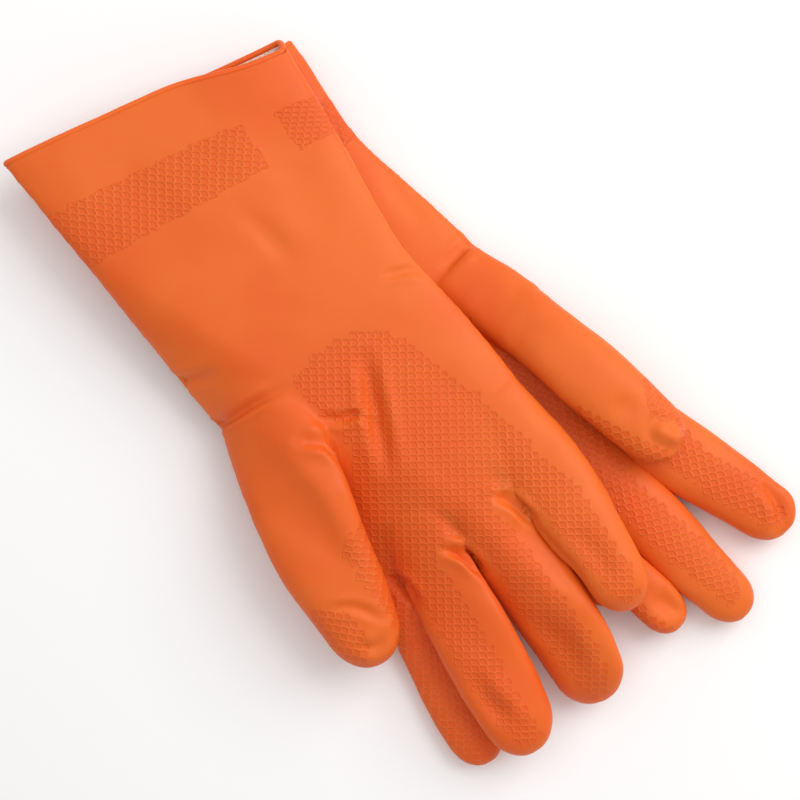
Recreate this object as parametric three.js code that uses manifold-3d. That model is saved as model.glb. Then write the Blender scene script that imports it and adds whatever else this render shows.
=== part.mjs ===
// A pair of long household rubber gloves lying palm up, the right glove on top of the left one.
//
// Each glove is a dipped latex shell with a rolled bead round its mouth and a flocked lining. It
// is divided where it bends: at the wrist, at the root of the thumb and across each finger. The
// gauntlet, the hand and the five stalls are separate shells, and each has its own lining inside.
// Units are millimetres, +Z is up, the fingers point along -Y and both gloves rest on z = 0.
import * as THREE from 'three';
import { ParametricGeometry } from 'three/addons/geometries/ParametricGeometry.js';
import { mergeVertices } from 'three/addons/utils/BufferGeometryUtils.js';
import Module from 'manifold-3d';

const wasm = await Module();
wasm.setup();

// Driving dimensions.
const RUBBER = 0.55;            // latex wall
const LINING = 0.45;            // flock lining
const CLEARANCE = 0.3;          // between neighbouring pieces
const BEAD_RADIUS = 1.7;        // rolled bead round the mouth
const PILE_HEIGHT = 18.5;       // how far the right glove is carried by the left one
const PILE_EDGE = [-80.4, 113.8];    // a point on the lower glove's free edge
const PILE_NORMAL = [0.898, 0.44];   // across that edge, towards the lower glove
const PILE_RAMP = [-46, 4];     // where the upper glove climbs, measured along PILE_NORMAL
const PLAN_SHIFT = [-13.436, -6.058];   // puts the middle of the pair on the origin
const AROUND = { hand: 16, stall: 8, bead: 5 };   // facets round each section
const BLUNTNESS = 2.5;          // superellipse exponent of the flattened sections
const LEAN_REACH = 100;         // distance from the mouth at which a gauntlet's lean has died away

// The hand's sections run from the mouth to the knuckles: [x, y, half width, half height].
// A stall's sections run from its root to its tip: [x, y, height of axis, half width, half height].
// hinge is the distance of the bend from the tip, and towards the way it bends, [across, up].
// lean is how far the mouth slants: one corner is set that much forward, the other that much back.
const RIGHT = {
  name: 'right',
  carried: true,
  lean: 11.5,
  hand: [
    [-29.5, 154.5, 60.7, 6.5], [-26.5, 120, 58.0, 7.0], [-23, 80, 54.8, 7.3], [-19.5, 42, 52.5, 7.6],
    [-10.5, 5, 52.0, 7.8], [-3.2, -30, 51.5, 7.8], [0.5, -50, 51.0, 7.4], [1, -60, 46.0, 6.0],
  ],
  wrist: { hinge: 112, towards: [0, 1], limit: 55 },
  stalls: {
    thumb: {
      path: [[-52, 28, 9, 18, 7.5], [-52, 12, 14, 21, 9], [-54, -8, 23.5, 22, 9.5],
        [-58, -38, 25, 19.5, 9.5], [-58.5, -62, 22.5, 16.5, 9.5], [-60.5, -89, 19.5, 13, 9]],
      hinge: 76, towards: [0, 1], limit: 45,
    },
    index: {
      path: [[-36, -42, 7, 12.5, 7], [-38.5, -75, 6.5, 12.3, 6.8], [-41.5, -105, 5.6, 11, 5.8],
        [-42, -130, 5.8, 11, 6], [-42.5, -148, 6, 9.5, 6]],
      hinge: 46, towards: [-0.94, 0.34], limit: 40,
    },
    middle: {
      path: [[-21, -42, 8.5, 14, 7.5], [-21.5, -72, 13, 15, 8.2], [-22.5, -100, 19.5, 16, 8.2],
        [-22.5, -130, 19, 15, 8.2], [-24.5, -152, 17, 12, 8]],
      hinge: 50, towards: [0, 1], limit: 60,
    },
    ring: {
      path: [[6, -42, 8, 14, 7.5], [7, -72, 8.3, 14, 8.5], [10.5, -105, 8.5, 15.5, 8.8],
        [12, -130, 8.5, 14.5, 8.8], [10, -149, 8, 12, 8]],
      hinge: 48, towards: [0, 1], limit: 60,
    },
    little: {
      path: [[33, -36, 7.6, 14, 7.5], [37, -65, 7.8, 14.3, 8], [38.5, -89, 7.8, 14.2, 8],
        [39.5, -108, 7.8, 12, 8], [39, -119.5, 7.5, 10, 7.5]],
      hinge: 42, towards: [0, 1], limit: 60,
    },
  },
};
const LEFT = {
  name: 'left',
  carried: false,
  lean: -3,
  hand: [
    [-22.8, 132.8, 60.7, 6.5], [-12, 86.7, 54.0, 7.0], [0, 52, 52.8, 7.2], [8.1, 26.9, 52.5, 7.4],
    [18, -5, 50.0, 7.6], [28, -32, 50.0, 7.6], [34, -48, 50.0, 7.4], [37, -57, 46.0, 6.0],
  ],
  wrist: { hinge: 112, towards: [0, -1], limit: 35 },
  stalls: {
    thumb: {
      path: [[44, 36, 8.5, 14, 7], [53, 18, 11, 14.5, 7.5], [64, -8, 21, 13, 8.5],
        [71, -32, 25.5, 14.5, 9], [79, -55, 26, 13.5, 9], [87, -74, 25, 11.5, 9]],
      hinge: 62, towards: [0, 1], limit: 45,
    },
    index: {
      path: [[70, -34, 7.5, 13.5, 7.2], [80, -58, 7.5, 13.3, 7.5], [95, -88, 8.5, 13.3, 8.5],
        [104, -108, 8.5, 12, 8.5], [112, -126, 8, 10, 8]],
      hinge: 46, towards: [0, 1], limit: 60,
    },
    middle: {
      path: [[48, -38, 7.6, 13.3, 7.3], [56, -68, 8, 12.6, 8], [65.5, -105, 8.3, 12.4, 8.5],
        [72, -128, 8.3, 12.2, 8.5], [79, -147, 8, 10.5, 8]],
      hinge: 44, towards: [0, 1], limit: 55,
    },
    ring: {
      path: [[25, -38, 8.5, 13, 6.5], [30.5, -65, 12, 11, 4.6], [38.5, -90, 13.2, 9, 4],
        [45, -112, 13.2, 7.6, 4], [48.5, -127, 10, 7.6, 6.8], [52, -140, 8, 7, 7.2]],
      hinge: 21, towards: [0, 1], limit: 45,
    },
    little: {
      path: [[3, -34, 6.5, 12.5, 6.5], [14, -65, 5, 11.5, 5], [27, -90, 4.2, 10.8, 4.2],
        [35, -106, 4.2, 10.5, 4.2], [39, -117, 4.2, 9, 4.2]],
      hinge: 37, towards: [0, -1], limit: 30,
    },
  },
};

const latex = new THREE.MeshStandardMaterial({ color: 0xea6a2e, roughness: 0.55, metalness: 0 });
const flock = new THREE.MeshStandardMaterial({ color: 0xe9c4b6, roughness: 0.95, metalness: 0 });

// Height that the lower glove gives the upper one at a place in plan.
function carriedBy(x, y) {
  const across = (x - PILE_EDGE[0]) * PILE_NORMAL[0] + (y - PILE_EDGE[1]) * PILE_NORMAL[1];
  return PILE_HEIGHT * THREE.MathUtils.smoothstep(across, ...PILE_RAMP);
}

// A smooth run through the given sections, which can be asked for its section at any distance.
class Run {
  constructor(rows, carried, lean = 0) {
    this.line = new THREE.CatmullRomCurve3(rows.map(([x, y, z]) => new THREE.Vector3(x, y, z)));
    this.sizes = new THREE.CatmullRomCurve3(rows.map((row) => new THREE.Vector3(row[3], row[4], 0)));
    this.length = this.line.getLength();
    this.carried = carried;
    this.lean = lean;
  }

  section(distance) {
    const t = this.line.getUtoTmapping(THREE.MathUtils.clamp(distance / this.length, 0, 1));
    const size = this.sizes.getPoint(t);
    const forward = this.line.getTangent(t).setZ(0).normalize();
    const centre = this.line.getPoint(t).addScaledVector(forward, Math.min(distance, 0));
    return { centre, forward, side: new THREE.Vector3(-forward.y, forward.x, 0), wide: size.x, high: size.y };
  }

  // A point of the surface, inset by a wall, at an angle round the section at a distance.
  point(distance, angle, inset, shrink, target) {
    const { centre, forward, side, wide, high } = this.section(distance);
    const round = (value) => Math.sign(value) * Math.abs(value) ** (2 / BLUNTNESS);
    const share = (1 - inset / wide) * shrink * round(Math.cos(angle));
    const lean = this.lean * (1 - THREE.MathUtils.smoothstep(distance, 0, LEAN_REACH));
    target.copy(centre).addScaledVector(side, wide * share).addScaledVector(forward, lean * share);
    target.z = Math.max(target.z + (high - inset) * shrink * round(Math.sin(angle)), inset);
    if (this.carried) target.z += carriedBy(target.x, target.y);
    return target;
  }
}

function solidOf(geometry) {
  geometry.deleteAttribute('normal');
  geometry.deleteAttribute('uv');
  const merged = mergeVertices(geometry, 1e-3);
  const faces = [];
  for (let i = 0; i < merged.index.count; i += 3) {
    const [a, b, c] = [0, 1, 2].map((k) => merged.index.getX(i + k));
    if (a !== b && b !== c && c !== a) faces.push(a, b, c);
  }
  const build = (triVerts) => new wasm.Manifold(new wasm.Mesh({
    numProp: 3,
    vertProperties: merged.attributes.position.array,
    triVerts: new Uint32Array(triVerts),
  }));
  const solid = build(faces);
  return solid.volume() > 0 ? solid : build(faces.reverse());
}

// A closed body through the run's sections at the given distances, flat at both ends. A distance
// can come with a shrink, which rounds off a tip.
function loft(run, stops, inset, around) {
  const stacks = stops.length + 1;
  return solidOf(new ParametricGeometry((u, v, target) => {
    const stop = Math.round(v * stacks);
    const [distance, shrink] = stops[THREE.MathUtils.clamp(stop - 1, 0, stops.length - 1)];
    const closed = stop === 0 || stop === stacks;
    const angle = ((Math.round(u * around) % around) / around) * 2 * Math.PI;
    run.point(distance, closed ? 0 : angle, inset, closed ? 0 : shrink, target);
  }, around, stacks));
}

// Even steps along the hand. The first can be moved in from the mouth, or a step added outside it.
function handStops(run, first, inset) {
  const stops = Array.from({ length: 9 }, (_, i) => [(run.length * i) / 8 - (i === 8 ? inset : 0), 1]);
  return [[first, 1], ...stops.slice(first < 0 ? 0 : 1)];
}

// Even steps along the shaft, then a round tip whose length is a little over its half width.
function stallStops(run, inset) {
  const end = run.length - inset;
  const cap = run.section(run.length).wide * 1.15 - inset;
  const shaft = Array.from({ length: 6 }, (_, i) => [((end - cap) * i) / 5 + (i === 0 ? inset : 0), 1]);
  const tip = [0.35, 0.65, 0.87, 1].map((turn) => {
    const angle = (turn * Math.PI) / 2;
    return [end - cap + cap * Math.sin(angle), Math.max(Math.cos(angle), 0.06)];
  });
  return [...shaft, ...tip];
}

// Everything beyond, or before, a plane across the run at a distance.
function beyond(run, distance, before = false) {
  const size = 600;
  const { centre, forward, side } = run.section(distance);
  const box = new THREE.BoxGeometry(size, size, size).translate(0, ((before ? -1 : 1) * size) / 2, 0);
  const up = new THREE.Vector3(0, 0, 1);
  return solidOf(box.applyMatrix4(new THREE.Matrix4().makeBasis(side.negate(), forward, up).setPosition(centre)));
}

// The rolled bead: a round tube along the outline of the mouth.
function bead(run) {
  const offset = -(BEAD_RADIUS + CLEARANCE);
  const around = AROUND.hand;
  const middle = new THREE.Vector3();
  const { forward } = run.section(0);
  return solidOf(new ParametricGeometry((u, v, target) => {
    const turn = ((Math.round(u * AROUND.bead) % AROUND.bead) / AROUND.bead) * 2 * Math.PI;
    const angle = ((Math.round(v * around) % around) / around) * 2 * Math.PI;
    const inner = BEAD_RADIUS * (1 - Math.cos(turn));
    run.point(offset, angle, inner, 1, middle);
    target.copy(middle).addScaledVector(forward, BEAD_RADIUS * Math.sin(turn));
  }, AROUND.bead, around));
}

function geometryOf(solid) {
  const { vertProperties, triVerts } = solid.getMesh();
  const geometry = new THREE.BufferGeometry();
  geometry.setAttribute('position', new THREE.BufferAttribute(vertProperties, 3));
  geometry.setIndex(new THREE.BufferAttribute(triVerts, 1));
  return geometry.toNonIndexed();
}

// A solid's main body, without the loose slivers left between neighbouring stalls.
function mainBody(solid) {
  const bodies = solidOf(geometryOf(solid)).decompose();
  if (bodies.length === 1) return solid;
  return mainBody(bodies.reduce((most, body) => (body.volume() > most.volume() ? body : most)));
}

function meshOf(name, solid, material) {
  const mesh = new THREE.Mesh(geometryOf(mainBody(solid)), material);
  mesh.geometry.computeVertexNormals();
  mesh.name = name;
  return mesh;
}

// The axis that lets a section swing towards a direction without its rim meeting its neighbour:
// it touches the section on that side and lies square to the direction.
function hingeAxis(run, distance, [across, up], outward) {
  const { side, forward } = run.section(distance);
  const direction = side.clone().multiplyScalar(across).add(new THREE.Vector3(0, 0, up)).normalize();
  const rim = Array.from({ length: 72 }, (_, i) => run.point(distance, (i * Math.PI) / 36, 0, 1, new THREE.Vector3()));
  const touching = rim.reduce((best, p) => (p.dot(direction) > best.dot(direction) ? p : best));
  const axis = forward.clone().multiplyScalar(outward).cross(direction);
  return { point: touching, axis };
}

function glove({ name, carried, lean, hand, wrist, stalls }) {
  const group = new THREE.Group();
  const palmRun = new Run(hand.map(([x, y, wide, high]) => [x, y, 0.92 * high, wide, high]), carried, lean);
  const runs = Object.entries(stalls).map(([digit, spec]) => ({ digit, spec, run: new Run(spec.path, carried) }));
  const layers = [
    { suffix: '', material: latex, outer: 0, inner: RUBBER },
    { suffix: '_lining', material: flock, outer: RUBBER + CLEARANCE, inner: RUBBER + CLEARANCE + LINING },
  ];
  const half = CLEARANCE / 2;
  for (const { suffix, material, outer, inner } of layers) {
    const skin = (inset, first) => loft(palmRun, handStops(palmRun, first, inset), inset, AROUND.hand);
    const stall = (run, inset) => loft(run, stallStops(run, inset), inset, AROUND.stall);
    const hollow = skin(inner, -6);
    const whole = skin(outer, outer);
    group.add(meshOf(`${name}_cuff${suffix}`,
      whole.intersect(beyond(palmRun, wrist.hinge - half, true)).subtract(hollow), material));
    let palm = whole;
    let cavity = hollow;
    for (const { digit, spec, run } of runs) {
      const bend = run.length - spec.hinge;
      const outside = stall(run, outer);
      const inside = stall(run, inner);
      palm = palm.add(outside.intersect(beyond(run, bend - half, true)));
      cavity = cavity.add(inside);
      group.add(meshOf(`${name}_${digit}${suffix}`,
        outside.intersect(beyond(run, bend + half)).subtract(inside), material));
    }
    palm = palm.intersect(beyond(palmRun, wrist.hinge + half)).subtract(cavity);
    group.add(meshOf(`${name}_palm${suffix}`, palm, material));
  }
  group.add(meshOf(`${name}_cuff_bead`, bead(palmRun), latex));
  group.userData.joints = [
    { joint: `${name}_wrist`, limit: wrist.limit, ...hingeAxis(palmRun, wrist.hinge, wrist.towards, -1) },
    ...runs.map(({ digit, spec, run }) => ({
      joint: `${name}_${digit}_bend`,
      limit: spec.limit,
      ...hingeAxis(run, run.length - spec.hinge, spec.towards, 1),
    })),
  ];
  return group;
}

const pair = new THREE.Group();
pair.add(glove(RIGHT), glove(LEFT));
pair.position.set(...PLAN_SHIFT, 0);

export default pair;
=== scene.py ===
"""A pair of long household rubber gloves lying palm up, the right one across the left.

Each glove is one dipped skin: a gauntlet, a hand and five finger stalls, with a rolled bead round
the mouth and a soft flock lining. The skin is shaped whole, folded, and then parted where it bends,
so that every part keeps its neighbour's edge. Lengths are millimetres until a mesh is made.
"""

from __future__ import annotations

import logging
import math
from dataclasses import dataclass, field
from enum import Enum

import bmesh
import bpy
import numpy as np
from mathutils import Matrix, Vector, noise
from mathutils.bvhtree import BVHTree

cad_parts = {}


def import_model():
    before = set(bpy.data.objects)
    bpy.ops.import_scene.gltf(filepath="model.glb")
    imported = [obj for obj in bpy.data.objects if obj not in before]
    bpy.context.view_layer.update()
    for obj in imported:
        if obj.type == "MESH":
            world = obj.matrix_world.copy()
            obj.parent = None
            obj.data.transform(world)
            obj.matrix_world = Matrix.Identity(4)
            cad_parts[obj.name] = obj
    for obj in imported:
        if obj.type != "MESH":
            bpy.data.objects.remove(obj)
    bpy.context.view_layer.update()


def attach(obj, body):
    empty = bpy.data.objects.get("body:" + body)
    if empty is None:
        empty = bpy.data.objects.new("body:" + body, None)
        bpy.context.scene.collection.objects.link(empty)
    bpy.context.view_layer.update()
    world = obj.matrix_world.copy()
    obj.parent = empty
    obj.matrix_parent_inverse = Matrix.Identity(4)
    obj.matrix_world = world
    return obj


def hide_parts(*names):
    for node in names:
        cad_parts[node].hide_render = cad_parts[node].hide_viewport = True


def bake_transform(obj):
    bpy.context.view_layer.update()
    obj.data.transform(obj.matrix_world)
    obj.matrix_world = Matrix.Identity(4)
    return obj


LOG = logging.getLogger("gloves")
MM = 0.001
SHIFT = np.array([-13.436, -6.058, 0.0])  # puts the middle of the pair on the origin
BLUNTNESS = 2.4  # superellipse exponent of the flattened sections
RUBBER = 0.55
LINING = (0.85, 1.35)  # depths of the lining's two faces below the outer skin
HAND = "hand"
THUMB = "thumb"
VOXEL = 1.15  # fineness of the skin
WEB = (1.2, 1.45)  # section radii of the second nearest stall between which a web ends
LEAN_REACH = 100.0  # distance from the mouth at which a gauntlet's lean has died away
GAPE_REACH = 48.0  # distance from the mouth at which the front wall is no longer drawn back
GAPE_LIFT = 0.55  # how far the drawn wall rises for each unit that it goes back
SWELL = (0.605, 31.0)  # height and breadth of the slow unevenness
RIPPLE = (0.176, 9.0)  # height and breadth of the fine unevenness
PALM_SIDE = (-0.05, 0.45)  # upward share of a normal between which the folds come in
GRIP_SIDE = -0.15  # least upward share of a normal that carries grip
ROOM_SHARE = 0.43  # most that a wall may take of the way to the far side
ROOM_REACH = 2.3  # how far off the far side is looked for, in depths of the lining
CLEAR = 0.02  # start of that look, off the skin it leaves from
FLOOR_GAP = 0.05
CLING = 20.0  # how sharply a point keeps to its nearest run
CUT_REACH = 5.0  # distance either side of a cut within which faces may be scored
PALE_FLOOR = (0.93, 0.93, 0.93, 1.0)
SKY = (1.0, 0.99, 0.98, 1.0)
SENSOR = 36.0

Plan = tuple[float, float]
Place = tuple[float, float, float]
Colour = tuple[float, float, float, float]
Face = tuple[int, ...]


class Digit(Enum):
    """The five stalls of a glove."""

    THUMB = "thumb"
    INDEX = "index"
    MIDDLE = "middle"
    RING = "ring"
    LITTLE = "little"


class Fade(Enum):
    """Where a fold loses its depth along its length."""

    BOTH = "both"
    END = "end"
    NONE = "none"


def smoothstep(low: float, high: float, value: np.ndarray) -> np.ndarray:
    """Rises smoothly from 0 at low to 1 at high.

    Args:
        low: Value at which the result is 0.
        high: Value at which the result is 1.
        value: Where to evaluate.

    Returns:
        The eased values.
    """
    t = np.clip((value - low) / (high - low), 0.0, 1.0)
    return t * t * (3.0 - 2.0 * t)


def lengths(points: np.ndarray) -> np.ndarray:
    """Gives the distance travelled in plan up to each point of a line."""
    steps = np.linalg.norm(np.diff(points[:, :2], axis=0), axis=1)
    return np.concatenate([[0.0], np.cumsum(steps)])


def through(points: np.ndarray, count: int) -> np.ndarray:
    """Samples a smooth curve through the given points at even steps.

    Args:
        points: Rows of coordinates. The first two or three columns are a place.
        count: How many samples to take.

    Returns:
        The samples, one row each.
    """
    knots = lengths(points)
    slopes = np.gradient(points, knots, axis=0)
    at = np.linspace(0.0, knots[-1], count)
    k = np.clip(np.searchsorted(knots, at, side="right") - 1, 0, len(points) - 2)
    h = (knots[k + 1] - knots[k])[:, None]
    t = (at[:, None] - knots[k][:, None]) / h
    return (
        (2 * t**3 - 3 * t**2 + 1) * points[k]
        + (t**3 - 2 * t**2 + t) * h * slopes[k]
        + (3 * t**2 - 2 * t**3) * points[k + 1]
        + (t**3 - t**2) * h * slopes[k + 1]
    )


@dataclass
class Run:
    """A smooth line of flattened sections, such as a finger stall.

    Attributes:
        rows: (x, y, z, half width, half height) from root to tip.
        table: Even samples of the rows.
        along: Distance of each sample from the root.
        ahead: Plan direction at each sample.
        aside: Share of its shift that each sample has, where the run was moved.
    """

    rows: tuple[tuple[float, float, float, float, float], ...]
    table: np.ndarray = field(init=False)
    along: np.ndarray = field(init=False)
    ahead: np.ndarray = field(init=False)
    aside: np.ndarray = field(init=False)

    def __post_init__(self) -> None:
        """Samples the line once."""
        self.table = through(np.array(self.rows, float), 161)
        self.along = lengths(self.table)
        ahead = np.gradient(self.table[:, :2], self.along, axis=0)
        self.ahead = ahead / np.linalg.norm(ahead, axis=1)[:, None]
        self.aside = np.zeros(len(self.along))

    def moved(self, way: Place, start: float, reach: float) -> "Run":
        """Gives the same run with its far part moved aside.

        Args:
            way: The whole shift.
            start: Distance at which the shift begins.
            reach: Distance over which it grows.

        Returns:
            The new run.
        """
        rows = self.table.copy()
        aside = smoothstep(start, start + reach, self.along)
        rows[:, :3] += np.outer(aside, way)
        steps = np.gradient(rows[:, :2], axis=0)
        rows[:, 3] *= np.linalg.norm(steps, axis=1) / (steps * self.ahead).sum(axis=1)
        made = Run(tuple(map(tuple, rows[::8])))
        made.aside = np.interp(made.along, lengths(rows), aside)
        return made

    @property
    def length(self) -> float:
        """Length of the line seen from above."""
        return float(self.along[-1])

    def section(self, distance: float) -> tuple[np.ndarray, np.ndarray, float, float]:
        """Gives the section at a distance from the root.

        Args:
            distance: Distance along the line, which may lie a little before the root.

        Returns:
            Its centre, the plan direction towards the tip, half width and half height.
        """
        row = [np.interp(distance, self.along, self.table[:, c]) for c in range(5)]
        ahead = np.array([np.interp(distance, self.along, self.ahead[:, c]) for c in range(2)])
        centre = np.array(row[:3])
        centre[:2] += ahead * min(distance, 0.0)
        return centre, ahead, row[3], row[4]

    def locate(self, points: np.ndarray) -> tuple[np.ndarray, np.ndarray, np.ndarray]:
        """Finds where points lie against the line.

        Args:
            points: Places, one row each.

        Returns:
            For each point its distance along, its distance across, and its section radius: 1 on
            the surface of the run, less inside.
        """
        near = np.empty(len(points), int)
        for first in range(0, len(points), 8000):
            part = points[first : first + 8000, None, :2] - self.table[None, :, :2]
            near[first : first + 8000] = np.argmin((part**2).sum(axis=2), axis=1)
        offset = points[:, :2] - self.table[near, :2]
        ahead = self.ahead[near]
        distance = self.along[near] + (offset * ahead).sum(axis=1)
        across = offset[:, 1] * ahead[:, 0] - offset[:, 0] * ahead[:, 1]
        wide, high = self.table[near, 3], self.table[near, 4]
        rise = points[:, 2] - self.table[near, 2]
        radius = (np.abs(across / wide) ** BLUNTNESS + np.abs(rise / high) ** BLUNTNESS) ** (1 / BLUNTNESS)
        outside = np.maximum(-distance, distance - self.length)
        return distance, across, radius + np.maximum(outside, 0.0) / wide

    def loft(self, first: float, round_tip: bool, around: int = 72) -> tuple[np.ndarray, list[Face]]:
        """Skins the sections as one closed body.

        Args:
            first: Distance at which the body starts.
            round_tip: Whether the far end closes in a dome.
            around: Points round each section.

        Returns:
            Vertices and faces.
        """
        cap = self.table[-1, 3] * 1.15 if round_tip else 0.0
        stops = [(d, 1.0) for d in np.arange(first, self.length - cap, 2.0)]
        if round_tip:
            turns = np.linspace(0.0, 1.0, 13)[:-1] * math.pi / 2
            stops += [(self.length - cap + cap * math.sin(t), math.cos(t) ** 0.9) for t in turns]
        else:
            stops.append((self.length, 1.0))
        angle = np.linspace(0.0, 2 * math.pi, around, endpoint=False)
        flat = np.sign(np.cos(angle)) * np.abs(np.cos(angle)) ** (2 / BLUNTNESS)
        tall = np.sign(np.sin(angle)) * np.abs(np.sin(angle)) ** (2 / BLUNTNESS)
        rings = []
        for distance, shrink in stops:
            centre, ahead, wide, high = self.section(distance)
            side = np.array([-ahead[1], ahead[0]])
            ring = np.empty((around, 3))
            ring[:, :2] = centre[:2] + np.outer(flat * wide * shrink, side)
            ring[:, 2] = centre[2] + tall * high * shrink
            rings.append(ring)
        faces: list[Face] = [tuple(range(around))]
        for r in range(len(rings) - 1):
            for k in range(around):
                a, b = r * around + k, r * around + (k + 1) % around
                faces.append((a, a + around, b + around, b))
        faces.append(tuple(len(rings) * around - 1 - k for k in range(around)))
        return np.concatenate(rings), faces


@dataclass(frozen=True)
class Fold:
    """A crease, crest or hollow pressed into the palm side of one zone.

    Attributes:
        path: Plan points that it follows.
        width: Half width of the valley.
        depth: Depth, negative for a crest.
        lip: Height of the soft ridge on either side.
        fade: Where the depth dies away.
        on_thumb: Whether it marks the thumb and not the rest of the glove.
    """

    path: tuple[Plan, ...]
    width: float
    depth: float
    lip: float = 0.0
    fade: Fade = Fade.BOTH
    on_thumb: bool = False

    def drop(self, points: np.ndarray) -> np.ndarray:
        """Gives how far the surface sinks at each place.

        Args:
            points: Places, one row each.

        Returns:
            The depth under each place.
        """
        line = through(np.array(self.path, float), 33)
        gap = np.linalg.norm(points[:, None, :2] - line[None], axis=2)
        near = gap.argmin(axis=1)
        away = gap.min(axis=1) / self.width
        t = near / 32.0
        ends = {
            Fade.BOTH: np.sqrt(np.sin(math.pi * np.clip(t, 0.02, 0.98))),
            Fade.END: 1.0 - smoothstep(0.4, 1.0, t),
            Fade.NONE: np.ones_like(t),
        }[self.fade]
        valley = np.exp(-(away**2))
        lips = np.exp(-(((away - 2.0) / 0.8) ** 2))
        return ends * (self.depth * valley - self.lip * lips)


@dataclass(frozen=True)
class Bend:
    """Where a zone is parted from the hand.

    Attributes:
        hinge: Distance of the bend along the run, from the mouth for a wrist, else from the tip.
        lead: Distance before the bend at which the skin is parted.
        trail: Distance after the bend.
    """

    hinge: float
    lead: float = 11.0
    trail: float = 9.0


@dataclass(frozen=True)
class Grip:
    """The raised net of small rounded cells that gives wet hands a hold.

    Attributes:
        pitch: Cell size along and across.
        turn: Direction of the first row of cells from the run's direction, in radians.
    """

    pitch: tuple[float, float] = (3.24, 2.75)
    turn: float = math.radians(54.0)

    def rows(self, ahead: float) -> np.ndarray:
        """Gives the directions of the two rows of cells."""
        first = ahead + self.turn
        return np.array([[math.cos(first), math.sin(first)], [math.sin(first), -math.cos(first)]])

    def cells(self, plan: np.ndarray, ahead: float) -> np.ndarray:
        """Turns plan places into cell units.

        Args:
            plan: Places, one row each.
            ahead: Direction that the run points in, in radians.

        Returns:
            Two coordinates in cells for each place.
        """
        return plan @ self.rows(ahead).T / np.array(self.pitch)

    def places(self, cells: np.ndarray, ahead: float) -> np.ndarray:
        """Turns cell units back into plan places, the inverse of cells.

        Args:
            cells: Coordinates in cells.
            ahead: Direction that the run points in, in radians.

        Returns:
            Plan places, one row each.
        """
        return (cells * np.array(self.pitch)) @ self.rows(ahead)


def inside(outline: np.ndarray, points: np.ndarray) -> np.ndarray:
    """Tells which points lie inside an outline.

    Args:
        outline: Corners of the outline in order.
        points: Places, one row each.

    Returns:
        True where a place is inside.
    """
    x, y = points[:, 0], points[:, 1]
    hit = np.zeros(len(points), bool)
    for (x0, y0), (x1, y1) in zip(outline, np.roll(outline, -1, axis=0)):
        if y0 == y1:
            continue
        spans = (y0 > y) != (y1 > y)
        hit ^= spans & (x < (x1 - x0) * (y - y0) / (y1 - y0) + x0)
    return hit


def open_edges(faces: list[Face]) -> list[tuple[int, int]]:
    """Lists the directed edges that only one face has."""
    edges = dict.fromkeys((a, b) for face in faces for a, b in zip(face, face[1:] + face[:1]))
    return [(a, b) for a, b in edges if (b, a) not in edges]


def placed(name: str, data: bpy.types.ID) -> bpy.types.Object:
    """Puts new data into the scene as an object."""
    made = bpy.data.objects.new(name, data)
    bpy.context.scene.collection.objects.link(made)
    return made


class Socket:
    """A node's output that takes part in arithmetic."""

    def __init__(self, tree: "Tree", socket: bpy.types.NodeSocket) -> None:
        """Wraps an output of a tree."""
        self.tree = tree
        self.socket = socket

    def _math(self, operation: str, *values: "Socket | float") -> "Socket":
        """Adds a Math node."""
        return self.tree.node("ShaderNodeMath", {"operation": operation}, dict(enumerate(values)))

    def __add__(self, other: "Socket | float") -> "Socket":
        """Adds."""
        return self._math("ADD", self, other)

    def __sub__(self, other: "Socket | float") -> "Socket":
        """Subtracts."""
        return self._math("SUBTRACT", self, other)

    def __rsub__(self, other: float) -> "Socket":
        """Subtracts from a number."""
        return self._math("SUBTRACT", other, self)

    def __mul__(self, other: "Socket | float") -> "Socket":
        """Multiplies."""
        return self._math("MULTIPLY", self, other)

    def __pow__(self, other: float) -> "Socket":
        """Raises to a power."""
        return self._math("POWER", self, other)

    def __abs__(self) -> "Socket":
        """Drops the sign."""
        return self._math("ABSOLUTE", self)

    __radd__ = __add__
    __rmul__ = __mul__

    def sine(self) -> "Socket":
        """Takes the sine."""
        return self._math("SINE", self)

    def fraction(self) -> "Socket":
        """Keeps what follows the whole number."""
        return self._math("FRACT", self)

    def ramp(self, low: float, high: float) -> "Socket":
        """Rises smoothly from 0 to 1 between two values."""
        settings = {"interpolation_type": "SMOOTHSTEP"}
        limits = {"Value": self, "From Min": low, "From Max": high}
        return self.tree.node("ShaderNodeMapRange", settings, limits)


class Tree:
    """A node tree that is built by name."""

    def __init__(self, tree: bpy.types.NodeTree) -> None:
        """Starts on an empty tree."""
        self.tree = tree
        tree.nodes.clear()

    def node(
        self,
        kind: str,
        settings: dict[str, object] | None = None,
        inputs: dict[str | int, object] | None = None,
        output: str | int = 0,
    ) -> Socket:
        """Adds a node, sets it, and fills its sockets.

        Args:
            kind: The node's type.
            settings: Properties that are set before its sockets are used.
            inputs: Socket name or number to a value, or to an output that feeds it.
            output: Name or number of the output that is returned.

        Returns:
            The output.
        """
        made = self.tree.nodes.new(kind)
        for name, value in (settings or {}).items():
            setattr(made, name, value)
        for name, value in (inputs or {}).items():
            if isinstance(value, Socket):
                self.tree.links.new(value.socket, made.inputs[name])
            else:
                made.inputs[name].default_value = value
        return Socket(self, made.outputs[output] if len(made.outputs) else None)

    def mix(self, share: Socket, first: Socket | Colour, second: Socket | Colour) -> Socket:
        """Mixes two colours."""
        return self.node("ShaderNodeMix", {"data_type": "RGBA"}, {"Factor": share, 6: first, 7: second}, 2)


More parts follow.
